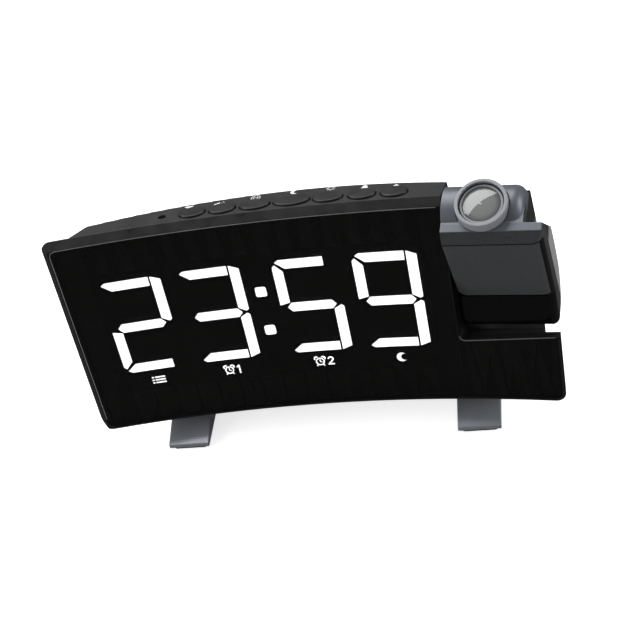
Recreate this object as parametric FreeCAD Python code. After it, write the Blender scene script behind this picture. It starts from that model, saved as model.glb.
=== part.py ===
import FreeCAD, Part
import math
import os

from FreeCAD import Vector

# A projection alarm clock with a concave smoked face, a lit four-digit display and a projector arm.
# Lengths are millimetres and angles degrees. The clock is drawn upright first: X runs along the face,
# Y back from the middle of the face and Z up the face from its lower edge. It is then leaned back.

# The face
lean = 12.0
face_radius = 507.7
face_width = 188.0
face_height = 87.2
face_lift = 14.8
frame_depth = 3.4
bevel_height = 2.9
bevel_depth = 3.1
glass_depth = 1.8
glass_side_margin = 3.0
glass_right_margin = 1.3
glass_low_margin = 0.8
glass_slack = 0.1

# The rear casing
wall = 2.0
casing_low = 2.5
casing_half_width = 83.0
casing_top_depth = 17.4
casing_knee_depth = 40.0
casing_knee_height = 24.0
casing_heel_depth = 38.0
casing_rear_arc = 260.0
casing_end_taper = 5.1
casing_end_depth = 5.2
casing_heel_inset = 17.0
casing_far_depth = 34.0
wing_left = 70.0
wing_right = 88.0
wing_back = 14.0
wing_low = 9.0

# The bay that the projector arm swings in
bay_angle = 8.5
bay_left = -18.6
bay_floor_left = 27.7
bay_floor_right = 29.4
bay_corner = 2.5
bay_reach = 60.0

# The lit digits
digit_places = (-65.5, -34.8, 2.3, 33.0)
stroke = 3.9
bar_spacing = 19.05
post_spacing = 20.6
segment_gap = 0.75
segment_depth = 1.0
colon_place = -16.25
colon_spacing = 17.4
colon_size = 4.3
icon_size = 5.0
window_low_drop = 30.8
window_left = -79.0
window_right = 47.4
window_top_margin = 16.6
window_high = face_height - window_top_margin
digit_drop = 25.2
digit_height = window_high - digit_drop
icon_drop = 26.1
icon_height = digit_height - icon_drop
window_low = digit_height - window_low_drop
light_box_depth = 4.5
display_board_depth = 1.0
chip_size = 1.6
chip_height = 0.8
seat_slack = 0.1

# The keys on the top
key_names = ("down", "volume", "zone", "snooze", "set", "alarm", "up")
key_places = (-36.5, -25.0, -12.4, 1.6, 15.3, 28.0, 39.9)
key_widths = (10.0, 10.4, 11.6, 14.0, 11.4, 10.4, 10.0)
key_depth = 7.6
key_back = 8.0
key_proud = 0.8
key_slack = 0.25
key_travel = 0.6
key_flange = 0.4
key_flange_height = 1.0
key_stem_radius = 1.6
key_stem_height = 1.3
switch_slack = 0.2
switch_gap = key_travel + switch_slack
switch_size = 5.0
switch_height = 2.2
plunger_radius = 1.4
plunger_height = 0.8
board_thickness = 1.6
key_board_left = -48.0
key_board_right = 51.0
key_board_front = 3.8
key_board_back = 11.6
key_stack = key_flange_height + key_stem_height + switch_gap + plunger_height + switch_height
sensor_place = -48.3
sensor_back = 8.4
sensor_radius = 1.5
sensor_slack = 0.05

# The projector arm
arm_tilt = 25.0
hinge_back = 18.4
hinge_height = 41.8
hub_radius = 11.0
arm_left = -17.9
arm_right = 17.6
arm_wall = 1.6
arm_face_top = 40.0
ledge_front = -8.6
ledge_height = 44.6
ledge_back = -5.6
ledge_top = 45.0
head_back = 3.0
head_height = 38.3
head_radius = 10.3
head_right = 10.8
head_rounding = 4.0
arm_corner = 4.5
arm_side_taper = 2.2
chin_back = 5.6
chin_height = 30.2
chin_rounding = 1.6
chin_bend = 5.0
shoulder_slope = 57.0
trough_slack = 0.6
arm_screw_inset = 4.6
arm_screw_low = 8.0
arm_screw_drop = 8.0
arm_screw_shoulder = 20.5
trim_thickness = 0.7
plate_proud = 0.3
plate_sunk = 0.8
plate_low = 8.2
plate_side = 0.4

# The focus ring and the lens
lens_tilt = 8.0
lens_x = -3.4
lens_front_back = -0.2
ring_proud = 1.5
lens_front_height = head_height + head_radius + ring_proud
ring_radius = 9.4
ring_bore = 8.1
ring_height = 4.0
ring_slack = 0.3
sleeve_radius = 8.6
sleeve_length = 5.0
running_slack = 0.06
carrier_bore = 7.6
carrier_front = 1.2
carrier_length = 10.0
lens_seat = 2.0
lens_rim = 1.4
lens_bulge = 1.3
retainer_width = 0.7
retainer_height = 0.6

# The hinge of the arm
shaft_radius = 5.0
shaft_bore = 3.2
bush_radius = 6.6
bush_flange_radius = 8.0
bush_flange = 2.0
washer_thickness = 1.2
clip_thickness = 1.2
clip_radius = 7.6
shaft_flange_radius = 7.4
shaft_flange = 1.2

# The light engine in the arm
tube_size = 13.0
tube_wall = 1.0
tube_low = 13.0
tube_gap = 2.9
tube_high = lens_front_height - carrier_front - carrier_length - tube_gap
tube_flange = 1.5
engine_width = 20.0
engine_depth = 18.4
slide_low = 29.0
slide_thickness = 1.2
condenser_low = 20.0
condenser_thickness = 2.6
emitter_board_thickness = 1.4
emitter_radius = 2.3
sink_height = 5.4
sink_width = 16.0
sink_depth = 12.6
fin_count = 5
fin_thickness = 1.4
sink_base = 1.6

# The boards and sockets
main_board_half_width = 40.0
main_board_low = 19.0
main_board_high = 70.0
main_board_back = 15.6
main_post_x = 36.0
main_post_low = 24.0
main_post_high = 64.0
board_chip_places = ((0.0, 48.0, 16.0), (18.0, 48.0, 8.0), (-22.0, 38.0, 8.0))
board_chip_height = 1.5
capacitor_places = ((27.0, 34.0), (20.0, 30.0))
capacitor_radius = 3.0
capacitor_height = 4.5
post_radius = 2.6
screw_radius = 1.2
screw_head_radius = 2.3
screw_head_height = 1.4
socket_board_left = -14.5
socket_board_right = 13.5
socket_board_front = 22.0
socket_board_low = 8.5
usb_left = -12.5
usb_width = 13.2
usb_height = 5.9
usb_skin = 0.4
usb_length = 14.0
tongue_inset = 5.6
tongue_thickness = 1.8
power_centre = 8.4
power_width = 9.0
power_height = 10.6
power_length = 13.0
power_bore = 3.4
power_pin = 0.7
power_pin_inset = 5.0
power_rise = 5.6
socket_recess = 0.4
socket_slack = 0.25
socket_reach = 8.0
gland_place = 24.0
gland_height = 15.0
gland_radius = 3.0
gland_bore = 0.9
gland_lip = 0.8

# The loudspeaker and the reserve cell
speaker_x = -32.0
speaker_y = 19.5
speaker_radius = 12.5
speaker_rim = 2.4
speaker_basket_height = 4.6
magnet_radius = 7.0
magnet_height = 4.2
grille_hole = 0.85
grille_pitch = 3.2
cell_x = 31.0
cell_y = 18.0
cell_radius = 10.0
cell_height = 3.2
lid_radius = 12.4
lid_slack = 0.08
lid_slot_length = 12.0
lid_slot_width = 1.8
lid_slot_depth = 0.9
holder_radius = 13.4
holder_bore = 10.3
holder_roof = 1.2
cell_float = 0.3

# The feet
foot_places = (-60.9, 59.4)
foot_width = 17.0
foot_toe = -7.2
foot_heel = 34.0
foot_toe_height = 2.0
foot_slope = 16.3
pad_height = 1.2
pad_inset = 1.2
pad_sunk = 0.4

# The casing screws
casing_screw_places = ((-60.0, 9.5), (60.0, 9.5), (-62.0, 76.0), (51.6, 66.0))
casing_post_radius = 2.7
casing_joint_back = 8.0
counterbore_radius = 2.9
counterbore_web = 2.2
counterbore_skin = 1.2

# The slots in the back for air
vent_count = 7
vent_pitch = 4.0
vent_width = 1.5
vent_low = 40.0
vent_high = 58.0
vent_middle = 0.0

up = Vector(0, 0, 1)
right = Vector(1, 0, 0)
back = Vector(0, 1, 0)
far = 90.0
nodes = {}
board_screws = []


def face_at(x, depth=0.0):
    """Y of the surface that lies depth behind the face, at x."""
    return math.sqrt((face_radius + depth) ** 2 - x ** 2) - face_radius


def casing_back_at(x, height):
    """Y of the outside of the casing's sloped back, at x and height."""
    share = (height - casing_knee_height) / (face_height - casing_knee_height)
    depth = casing_knee_depth + share * (casing_top_depth - casing_knee_depth)
    if height < casing_knee_height:
        share = (casing_knee_height - height) / (casing_knee_height - casing_low)
        depth = casing_knee_depth + share * (casing_heel_depth - casing_knee_depth)
    centre = casing_top_depth - casing_rear_arc
    return centre + math.sqrt((depth - centre) ** 2 - x ** 2)


def rounded_wire(corners, at):
    """Closed wire through corners (a, b, radius), each rounded, where at(a, b) gives the point."""
    enters, middles, leaves = [], [], []
    for i, (a, b, radius) in enumerate(corners):
        corner = at(a, b)
        before = (at(*corners[i - 1][:2]) - corner).normalize()
        after = (at(*corners[(i + 1) % len(corners)][:2]) - corner).normalize()
        if radius <= 0:
            enters.append(corner)
            middles.append(None)
            leaves.append(corner)
            continue
        half = before.getAngle(after) / 2
        enters.append(corner + before * (radius / math.tan(half)))
        leaves.append(corner + after * (radius / math.tan(half)))
        inward = (before + after).normalize()
        middles.append(corner + inward * (radius / math.sin(half) - radius))
    edges = []
    for i, middle in enumerate(middles):
        if middle is not None:
            edges.append(Part.Arc(enters[i], middle, leaves[i]).toShape())
        start, end = leaves[i], enters[(i + 1) % len(corners)]
        if start.distanceToPoint(end) > 1e-6:
            edges.append(Part.makeLine(start, end))
    return Part.Wire(Part.__sortEdges__(edges))


def prism_back(corners, start, end):
    """Outline in X and Z, carried from Y start to Y end."""
    wire = rounded_wire(corners, lambda a, b: Vector(a, start, b))
    return Part.Face(wire).extrude(back * (end - start))


def prism_up(corners, start, end):
    """Outline in X and Y, carried from Z start to Z end."""
    wire = rounded_wire(corners, lambda a, b: Vector(a, b, start))
    return Part.Face(wire).extrude(up * (end - start))


def prism_right(corners, start, end):
    """Outline in Y and Z, carried from X start to X end."""
    wire = rounded_wire(corners, lambda a, b: Vector(start, a, b))
    return Part.Face(wire).extrude(right * (end - start))


def box(x, y, z):
    """Box between the pairs x, y and z."""
    return Part.makeBox(x[1] - x[0], y[1] - y[0], z[1] - z[0], Vector(x[0], y[0], z[0]))


def rod(radius, length, start, along=up):
    return Part.makeCylinder(radius, length, start, along)


def tube(radius, bore, length, start, along=up):
    return rod(radius, length, start, along).cut(rod(bore, length, start, along))


def arc_slab(front, rear):
    """Everything between two depths behind the curved face."""
    base = Vector(0, -face_radius, -far)
    return rod(face_radius + rear, 3 * far, base).cut(rod(face_radius + front, 3 * far, base))


def face_piece(corners, front, rear):
    """A piece of the curved face: an outline in X and Z, between two depths behind the face."""
    return prism_back(corners, -far / 2, far / 2).common(arc_slab(front, rear))


def in_bay(shape):
    """From the bay's own frame, which looks square at the face beside the display, to the clock's."""
    turned = shape.copy()
    turned.rotate(Vector(0, 0, 0), up, -bay_angle)
    reach = math.radians(bay_angle)
    turned.translate(Vector(face_radius * math.sin(reach), face_radius * (math.cos(reach) - 1), 0))
    return turned


def in_arm(shape):
    """From the arm's frame, with its origin in the hinge and Z along the arm, to the clock's."""
    turned = shape.copy()
    turned.rotate(Vector(0, 0, 0), right, arm_tilt)
    turned.translate(Vector(0, hinge_back, hinge_height))
    return in_bay(turned)


def on_lens(shape):
    """From the lens's frame, with its origin in the ring's front and Z along the light, to the arm's."""
    turned = shape.copy()
    turned.rotate(Vector(0, 0, 0), right, lens_tilt)
    turned.translate(Vector(lens_x, lens_front_back, lens_front_height))
    return turned


def leaned(shape):
    """From the upright clock to the clock that leans back on its feet."""
    turned = shape.copy()
    turned.rotate(Vector(0, 0, 0), right, -lean)
    turned.translate(Vector(0, 0, face_lift))
    return turned


def add(name, shape):
    """Keep a piece that is drawn on the upright clock."""
    nodes[name] = leaned(shape)


def bay_cutter(grow=0.0):
    """The notch in the upper right of the clock, grown all round by grow."""
    half = face_width / 2
    corners = [
        (bay_left - grow, bay_floor_left - grow, bay_corner + grow),
        (-bay_left, bay_floor_right - grow, 0),
        (bay_reach, bay_floor_right - grow, 0),
        (bay_reach, face_height + half, 0),
        (bay_left - grow, face_height + half, 0),
    ]
    notch = prism_back(corners, -far, far)
    # The floor dips behind the frame in a trough that the arm's chin swings through.
    swing = math.hypot(hinge_back - chin_back, hinge_height - chin_height) + trough_slack
    middle = Vector(bay_left - grow, hinge_back, hinge_height)
    trough = rod(swing + grow, bay_reach - bay_left, middle, right)
    return in_bay(notch.fuse(trough))


def frame_outline():
    half = face_width / 2
    return [(-half, 0, 5.4), (half, 0, 4.0), (half, face_height, 0), (-half, face_height, 3.5)]


def glass_outline(grow=0.0):
    left = glass_side_margin - face_width / 2 - grow
    end = face_width / 2 - glass_right_margin + grow
    low = glass_low_margin - grow
    high = face_height - bevel_height + grow
    return [(left, low, 4.6), (end, low, 3.2), (end, high, 0), (left, high, 2.0)]


def window_outline(shrink=0.0):
    return [
        (window_left + shrink, window_low + shrink, 1.0),
        (window_right - shrink, window_low + shrink, 1.0),
        (window_right - shrink, window_high - shrink, 1.0),
        (window_left + shrink, window_high - shrink, 1.0),
    ]


def make_face():
    """The smoked panel and the frame that holds it."""
    panel = face_piece(glass_outline(), 0, glass_depth).cut(bay_cutter(0.4))
    add("smoked_panel", panel)

    frame = face_piece(frame_outline(), 0, frame_depth).cut(bay_cutter())
    pocket = face_piece(glass_outline(glass_slack), -1, glass_depth).cut(bay_cutter(0.3))
    frame = frame.cut(pocket).cut(prism_back(window_outline(), -far / 2, far / 2))
    # The bevel along the top is a slanted band that follows the curve of the face.
    centre = Vector(0, -face_radius, 0)
    band = [
        (-2.0, face_height - bevel_height - 1.9, 0),
        (bevel_depth, face_height, 0),
        (bevel_depth, face_height + 5, 0),
        (-2.0, face_height + 5, 0),
    ]
    wire = rounded_wire(band, lambda a, b: Vector(0, a, b))
    frame = frame.cut(Part.Face(wire).revolve(centre, up, 360))
    half = face_width / 2
    edge = glass_side_margin - half
    side = [
        (edge, face_at(edge), 0),
        (-half, face_at(half) + bevel_depth, 0),
        (-half - 5, face_at(half) + bevel_depth, 0),
        (-half - 5, -far / 2, 0),
        (edge, -far / 2, 0),
    ]
    frame = frame.cut(prism_up(side, -5, face_height + 5))
    for x, height in casing_screw_places:
        start = Vector(x, face_at(x, frame_depth) - 0.5, height)
        length = casing_joint_back - start.y
        frame = frame.fuse(tube(casing_post_radius, screw_radius, length, start, back))
    add("front_frame", frame)


def digit_segments():
    """The seven segments of a digit about its middle, as outlines in X and Z."""
    w, h, s, g = post_spacing / 2, bar_spacing, stroke / 2, segment_gap
    end, inner, outer = w - s - g, w - s, w + s
    top = [(-w - 0.6, h + 0.9), (-w + 0.9, h + s), (end, h + s), (end, h - s), (1.0 - inner, h - s)]
    high_right = [(inner, h + s), (outer, h + s - 1.6), (outer, 1.2), (outer - 1.0, 0.5), (inner, s + 0.2)]
    high_left = [(-outer, h - 1.2), (1.0 - outer, h - 0.1), (-inner, h - s - 1.3)]
    high_left += [(-inner, s + 0.2), (-outer, 1.2)]
    half = inner - 0.5
    middle = [(g - w, 0), (-half, s), (half, s), (w - g, 0), (half, -s), (-half, -s)]
    upright = {"a": top, "b": high_right, "f": high_left, "g": middle}
    mirrored = {"d": top, "c": high_right, "e": high_left}
    shapes = {name: [(x, z, 0.15) for x, z in points] for name, points in upright.items()}
    shapes.update({name: [(x, -z, 0.15) for x, z in points[::-1]] for name, points in mirrored.items()})
    return shapes


def moved(corners, x, z):
    return [(a + x, b + z, radius) for a, b, radius in corners]


def make_display():
    """The light box, its lit and unlit segments and the board of small lamps behind it."""
    front = glass_depth + seat_slack
    rear = front + light_box_depth
    shapes = digit_segments()
    lit = ("abged", "abgcd", "afgcd", "abcdfg")
    names = ("digit_tens_of_hours", "digit_hours", "digit_tens_of_minutes", "digit_minutes")
    wells, lamps, unlit = [], [], []
    plate = arc_slab(front, front + segment_depth)
    for name, place, on in zip(names, digit_places, lit):
        plates = []
        for letter, corners in shapes.items():
            segment = prism_back(moved(corners, place, digit_height), -far / 4, far / 4)
            wells.append(segment)
            middle = segment.CenterOfMass
            lamps.append((middle.x, middle.z))
            target = plates if letter in on else unlit
            target.append(segment.common(plate))
        add(name, Part.makeCompound(plates))
    add("unlit_segments", Part.makeCompound(unlit))

    half = colon_size / 2
    square = [(-half, -half, 0.9), (half, -half, 0.9), (half, half, 0.9), (-half, half, 0.9)]
    dots = []
    for sign in (-1, 1):
        height = digit_height - 0.6 + sign * colon_spacing / 2
        dot = prism_back(moved(square, colon_place, height), -far / 4, far / 4)
        wells.append(dot)
        lamps.append((colon_place, height))
        dots.append(dot.common(plate))
    add("colon_dots", Part.makeCompound(dots))

    half = icon_size / 2
    square = [(-half, -half, 0.6), (half, -half, 0.6), (half, half, 0.6), (-half, half, 0.6)]
    icons = []
    for place in digit_places:
        icon = prism_back(moved(square, place, icon_height), -far / 4, far / 4)
        wells.append(icon)
        lamps.append((place, icon_height))
        icons.append(icon.common(plate))
    add("icon_windows", Part.makeCompound(icons))

    light_box = face_piece(window_outline(glass_slack), front, rear)
    room = casing_solid(wall + seat_slack)
    add("light_box", light_box.common(room).cut(wells))
    board = face_piece(window_outline(glass_slack), rear, rear + display_board_depth)
    add("display_board", board.common(room))
    half = chip_size / 2
    square = [(-half, -half, 0), (half, -half, 0), (half, half, 0), (-half, half, 0)]
    chip_slab = arc_slab(rear - chip_height, rear)
    chips = [prism_back(moved(square, x, z), -far / 4, far / 4).common(chip_slab) for x, z in lamps]
    add("display_lamps", Part.makeCompound(chips))


def casing_solid(inset):
    """The casing as a full body, drawn in from its outside by inset."""
    centre = casing_top_depth - casing_rear_arc
    profile = [
        (-far / 2, casing_low + inset, 0),
        (casing_heel_depth - inset, casing_low + inset, 4.0 - inset),
        (casing_knee_depth - inset, casing_knee_height, 12.0 - inset),
        (casing_top_depth - inset, face_height - inset, max(0.4, 1.2 - inset)),
        (-far / 2, face_height - inset, 0),
    ]
    wire = rounded_wire(profile, lambda a, b: Vector(0, a, b))
    body = Part.Face(wire).revolve(Vector(0, centre, 0), up, 360)
    half = casing_half_width - inset
    heel = half - casing_heel_inset
    shoulder = half - casing_end_taper
    front = face_at(casing_half_width, frame_depth)
    plan = [
        (-half, -far / 2, 0),
        (half, -far / 2, 0),
        (half, front, 0),
        (shoulder, casing_end_depth, 4.0),
        (heel, casing_far_depth, 0),
        (heel, far, 0),
        (-heel, far, 0),
        (-heel, casing_far_depth, 0),
        (-shoulder, casing_end_depth, 4.0),
        (-half, front, 0),
    ]
    # The right end is carried out under the bay, below where the arm swings.
    wing = box((wing_left, wing_right - inset), (-far, wing_back - inset), (wing_low + inset, bay_floor_right))
    return body.common(prism_up(plan, -far, 2 * far)).fuse(wing)


def make_casing():
    """The rear shell, with its posts, seats and cut-outs."""
    ahead = rod(face_radius + frame_depth, 3 * far, Vector(0, -face_radius, -far))
    outside = casing_solid(0).cut(bay_cutter()).cut(ahead)
    inside = casing_solid(wall).cut(bay_cutter(wall))
    shell = outside.cut(inside)

    posts, holes = [], []
    for x in (-main_post_x, main_post_x):
        for height in (main_post_low, main_post_high):
            start = Vector(x, main_board_back + board_thickness, height)
            posts.append(tube(post_radius, screw_radius, far, start, back))
    for x, height in casing_screw_places:
        rear = casing_back_at(x, height)
        post = rod(counterbore_radius + counterbore_skin, far, Vector(x, casing_joint_back, height), back)
        posts.append(post)
        holes.append(rod(screw_radius, far, Vector(x, casing_joint_back, height), back))
        bottom = max(casing_joint_back + counterbore_web, rear - wall - counterbore_web)
        holes.append(rod(counterbore_radius, far, Vector(x, bottom, height), back))
    key_low = face_height - wall - key_stack
    for x in (key_board_left + post_radius, key_board_right - post_radius):
        start = Vector(x, (key_board_front + key_board_back) / 2, key_low - seat_slack)
        posts.append(tube(post_radius - 0.4, screw_radius, face_height - wall - start.z + 0.5, start))
    floor = casing_low + wall
    for x in (socket_board_left + 2.0, socket_board_right - 2.0):
        posts.append(box((x - 1.5, x + 1.5), (socket_board_front, far), (floor - 0.5, socket_board_low)))
    ring_low = Vector(speaker_x, speaker_y, floor - 0.5)
    posts.append(tube(speaker_radius + 1.4, speaker_radius + seat_slack, 2.4, ring_low))
    for post in posts:
        shell = shell.fuse(post.common(outside))

    for place, width in zip(key_places, key_widths):
        holes.append(key_prism(place, width, key_slack, face_height - wall - 1, face_height + 5))
    sensor_y = face_at(sensor_place, sensor_back)
    sensor_low = Vector(sensor_place, sensor_y, face_height - 1.5 * wall)
    holes.append(rod(sensor_radius + sensor_slack, 2 * wall, sensor_low))
    holes.append(rod(lid_radius + lid_slack, wall + 2, Vector(cell_x, cell_y, casing_low - 1)))
    for ring in range(0, 4):
        count = max(1, 6 * ring)
        for i in range(count):
            turn = 2 * math.pi * i / count
            spot = Vector(speaker_x, speaker_y, casing_low - 1)
            spot += Vector(math.cos(turn), math.sin(turn), 0) * (ring * grille_pitch)
            holes.append(rod(grille_hole, wall + 1.5, spot))
    low = socket_board_low + board_thickness
    grow = socket_slack
    inner = casing_heel_depth - socket_reach
    middle = usb_left + usb_width / 2
    for x, width, height in ((middle, usb_width, usb_height), (power_centre, power_width, power_height)):
        half = width / 2 + grow
        holes.append(box((x - half, x + half), (inner, far), (low - grow, low + height + grow)))
    holes.append(rod(gland_radius, far, Vector(gland_place, inner, gland_height), back))
    for i in range(vent_count):
        x = vent_middle + (i - (vent_count - 1) / 2) * vent_pitch
        w = vent_width / 2
        spots = ((x - w, vent_low), (x + w, vent_low), (x + w, vent_high), (x - w, vent_high))
        slot = [(a, b, 0.98 * w) for a, b in spots]
        holes.append(prism_back(slot, main_board_back + board_thickness + 1, far))
    hinge_start = Vector(bay_left - 1.5 * wall, hinge_back, hinge_height)
    holes.append(in_bay(rod(bush_radius, 2 * wall, hinge_start, right)))
    add("rear_casing", shell.cut(holes))


def key_prism(place, width, grow, low, high):
    """An oval column for a key, square to the curved face."""
    oval = Part.Ellipse(Vector(0, 0, 0), width / 2 + grow, key_depth / 2 + grow)
    column = Part.Face(Part.Wire(oval.toShape())).extrude(up * (high - low))
    column.rotate(Vector(0, 0, 0), up, -math.degrees(place / face_radius))
    column.translate(Vector(place, face_at(place, key_back), low))
    return column


def make_keys():
    """The seven keys, their switches and the board below them."""
    ceiling = face_height - wall
    flange_high = ceiling - seat_slack
    flange_low = flange_high - key_flange_height
    stem_low = flange_low - key_stem_height
    switches = []
    plunger_high = stem_low - switch_gap
    body_high = plunger_high - plunger_height
    body_low = body_high - switch_height
    for name, place, width in zip(key_names, key_places, key_widths):
        cap = key_prism(place, width, 0, flange_high - 0.2, face_height + key_proud)
        rims = [edge for edge in cap.Edges if edge.BoundBox.ZMin > face_height + key_proud - 0.01]
        cap = cap.makeFillet(key_proud * 0.5, rims)
        flange = key_prism(place, width, key_flange, flange_low, flange_high)
        middle = Vector(place, face_at(place, key_back), stem_low)
        stem = rod(key_stem_radius, flange_low - stem_low + 0.2, middle)
        add("key_" + name, cap.fuse([flange, stem]).removeSplitter())
        half = switch_size / 2
        body = box(
            (place - half, place + half),
            (middle.y - half, middle.y + half),
            (body_low, body_high),
        )
        switches.append(body.fuse(rod(plunger_radius, plunger_height, Vector(place, middle.y, body_high))))
    add("key_switches", Part.makeCompound(switches))
    board = box(
        (key_board_left, key_board_right),
        (key_board_front, key_board_back),
        (body_low - board_thickness, body_low),
    )
    screws = []
    for x in (key_board_left + post_radius, key_board_right - post_radius):
        board_low = body_low - board_thickness
        start = Vector(x, (key_board_front + key_board_back) / 2, board_low - screw_head_height)
        board = board.cut(rod(screw_radius, far, start))
        head = rod(screw_head_radius - 0.4, screw_head_height, start)
        screws.append(head.fuse(rod(screw_radius, board_thickness + screw_head_height + 3, start)))
    add("key_board", board)
    board_screws.extend(screws)
    sensor_y = face_at(sensor_place, sensor_back)
    add("light_sensor", rod(sensor_radius, wall, Vector(sensor_place, sensor_y, ceiling - 0.1)))


def make_boards():
    """The main board on its posts, and the sockets with their small board."""
    rear = main_board_back + board_thickness
    board = box(
        (-main_board_half_width, main_board_half_width),
        (main_board_back, rear),
        (main_board_low, main_board_high),
    )
    screws = []
    for x in (-main_post_x, main_post_x):
        for height in (main_post_low, main_post_high):
            start = Vector(x, main_board_back - screw_head_height, height)
            board = board.cut(rod(screw_radius, far, start, back))
            head = rod(screw_head_radius, screw_head_height, start, back)
            screws.append(head.fuse(rod(screw_radius, screw_head_height + board_thickness + 3, start, back)))
    add("main_board", board)
    add("board_screws", Part.makeCompound(screws + board_screws))
    chips = []
    for x, height, size in board_chip_places:
        span = (main_board_back - board_chip_height, main_board_back)
        chips.append(box((x - size / 2, x + size / 2), span, (height - size / 2, height + size / 2)))
    for x, height in capacitor_places:
        chips.append(rod(capacitor_radius, capacitor_height, Vector(x, main_board_back, height), back * -1))
    add("main_board_chips", Part.makeCompound(chips))

    low = socket_board_low + board_thickness
    power_back = casing_back_at(power_centre + power_width / 2, low) - socket_recess
    usb_back = casing_back_at(usb_left, low) - socket_recess
    board = box(
        (socket_board_left, socket_board_right),
        (socket_board_front, casing_back_at(socket_board_left, socket_board_low) - wall - 0.6),
        (socket_board_low, low),
    )
    add("socket_board", board)
    usb = box((usb_left, usb_left + usb_width), (usb_back - usb_length, usb_back), (low, low + usb_height))
    hollow = box(
        (usb_left + usb_skin, usb_left + usb_width - usb_skin),
        (usb_back - usb_length + 1, usb_back + 1),
        (low + usb_skin, low + usb_height - usb_skin),
    )
    middle = low + usb_height / 2
    tongue = box(
        (usb_left + usb_skin + 0.8, usb_left + usb_width - usb_skin - 0.8),
        (usb_back - usb_length + 0.5, usb_back - tongue_inset),
        (middle - tongue_thickness / 2, middle + tongue_thickness / 2),
    )
    add("usb_socket", usb.cut(hollow).fuse(tongue))
    half = power_width / 2
    power = box(
        (power_centre - half, power_centre + half),
        (power_back - power_length, power_back),
        (low, low + power_height),
    )
    mouth = Vector(power_centre, power_back - power_length + 2, low + power_rise)
    power = power.cut(rod(power_bore, power_length, mouth, back))
    power = power.fuse(rod(power_pin, power_length - 2 - power_pin_inset, mouth, back))
    add("power_socket", power)
    rear = casing_back_at(gland_place, gland_height)
    gland = rod(gland_radius, wall, Vector(gland_place, rear - wall, gland_height), back)
    inner = rod(gland_radius + gland_lip, 1.0, Vector(gland_place, rear - wall - 1.6, gland_height), back)
    neck = rod(gland_radius, 1.0, Vector(gland_place, rear - wall - 1.0, gland_height), back)
    gland = gland.fuse([neck, inner])
    gland = gland.cut(rod(gland_bore, far, Vector(gland_place, rear - far / 2, gland_height), back))
    add("aerial_gland", gland)


def make_speaker_and_cell():
    """The loudspeaker over its holes, and the reserve cell over its lid."""
    floor = casing_low + wall
    base = Vector(speaker_x, speaker_y, floor)
    basket = Part.makeCone(speaker_radius, magnet_radius + 1, speaker_basket_height, base)
    basket = basket.fuse(rod(speaker_radius, 1.0, base))
    hollow = Part.makeCone(speaker_radius - speaker_rim, magnet_radius - 1, speaker_basket_height, base)
    basket = basket.cut(hollow).cut(rod(speaker_radius - speaker_rim, 0.8, base))
    add("speaker_basket", basket)
    cone_base = base + up * 0.8
    slope = speaker_basket_height - 1.2
    outer = Part.makeCone(speaker_radius - speaker_rim, 3.4, slope, cone_base)
    cavity = Part.makeCone(speaker_radius - speaker_rim - 1.2, 2.4, slope - 0.6, cone_base)
    room = Part.makeCone(speaker_radius - speaker_rim - 0.3, magnet_radius - 1.3, speaker_basket_height, base)
    cone = outer.cut(cavity).common(room)
    add("speaker_cone", cone)
    magnet_base = base + up * speaker_basket_height
    add("speaker_magnet", rod(magnet_radius, magnet_height, magnet_base))

    spot = Vector(cell_x, cell_y, casing_low)
    lid = rod(lid_radius, wall, spot)
    half = lid_slot_length / 2
    slot = box(
        (cell_x - half, cell_x + half),
        (cell_y - lid_slot_width / 2, cell_y + lid_slot_width / 2),
        (casing_low - 1, casing_low + lid_slot_depth),
    )
    add("battery_lid", lid.cut(slot))
    cell_low = floor + cell_float
    add("reserve_cell", rod(cell_radius, cell_height, Vector(cell_x, cell_y, cell_low)))
    roof = cell_low + cell_height + cell_float
    holder = rod(holder_radius, roof + holder_roof - floor, Vector(cell_x, cell_y, floor))
    holder = holder.cut(rod(holder_bore, roof - floor, Vector(cell_x, cell_y, floor)))
    ease = 0.4
    holder = holder.cut(tube(lid_radius + ease, holder_bore, ease, Vector(cell_x, cell_y, floor)))
    add("cell_holder", holder)


def underside_at(y):
    """Height of the casing's underside above the table at a leaned Y."""
    turn = math.radians(lean)
    return face_lift + casing_low / math.cos(turn) - y * math.tan(turn)


def make_feet():
    """Two wedge feet with rubber pads, drawn as they stand on the table."""
    pads = []
    for name, place in zip(("left", "right"), foot_places):
        rise = math.tan(math.radians(foot_slope))
        turn = math.tan(math.radians(lean))
        # The sloped top runs back until it meets the underside of the casing.
        meet = (underside_at(0) - pad_height - foot_toe_height + rise * foot_toe) / (rise + turn)
        profile = [
            (foot_toe, pad_height, 0.3),
            (foot_toe, pad_height + foot_toe_height, 0.5),
            (meet, underside_at(meet), 0),
            (foot_heel, underside_at(foot_heel), 0),
            (foot_heel - 2.0, pad_height, 1.5),
        ]
        x = (place - foot_width / 2, place + foot_width / 2)
        foot = prism_right(profile, *x)
        pad = [
            (x[0] + pad_inset, foot_toe + pad_inset * 0.6, 1.5),
            (x[1] - pad_inset, foot_toe + pad_inset * 0.6, 1.5),
            (x[1] - pad_inset, foot_heel - 4.0, 1.5),
            (x[0] + pad_inset, foot_heel - 4.0, 1.5),
        ]
        pad_solid = prism_up(pad, 0, pad_height + pad_sunk)
        nodes[name + "_foot"] = foot.cut(pad_solid)
        pads.append(pad_solid)
    nodes["foot_pads"] = Part.makeCompound(pads)


def make_casing_screws():
    screws = []
    for x, height in casing_screw_places:
        rear = casing_back_at(x, height)
        seat = max(casing_joint_back + counterbore_web, rear - wall - counterbore_web)
        start = face_at(x, frame_depth) + 0.5
        shank = rod(screw_radius, seat - start, Vector(x, start, height), back)
        screws.append(shank.fuse(rod(screw_head_radius, screw_head_height, Vector(x, seat, height), back)))
    add("casing_screws", Part.makeCompound(screws))


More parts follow.
